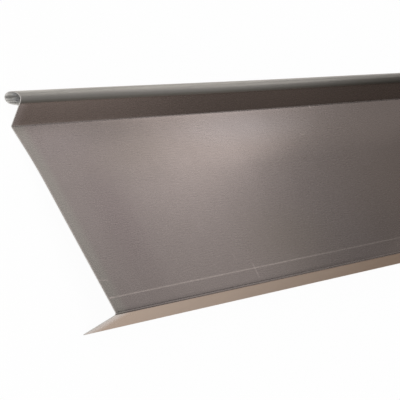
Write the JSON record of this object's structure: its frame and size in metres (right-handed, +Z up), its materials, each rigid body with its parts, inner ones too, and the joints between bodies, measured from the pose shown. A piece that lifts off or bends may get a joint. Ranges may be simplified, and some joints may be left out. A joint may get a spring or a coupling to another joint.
{
  "type": "verge flashing",
  "caption": "Strip of satin zinc sheet that covers a roof's verge board: a flange for nailing, a broad face, and a kicked-out drip edge rolled into a bead.",
  "frame": {"origin": "on the floor, under the middle of the part's box, as it lies at rest", "axes": "+X along the strip, from the end that the picture shows towards the far end; +Z up from the floor; +Y across the strip, from the nailing flange to the bead"},
  "size_m": [2, 0.193, 0.0315],
  "materials": {
    "satin_zinc": "satin rolled zinc, warm grey, bright at the cut edges, with fine rolling grain, a faint scribed line and a few handling scratches"
  },
  "bodies": {
    "root": {"verge_flashing": "satin_zinc"}
  },
  "joints": []
}
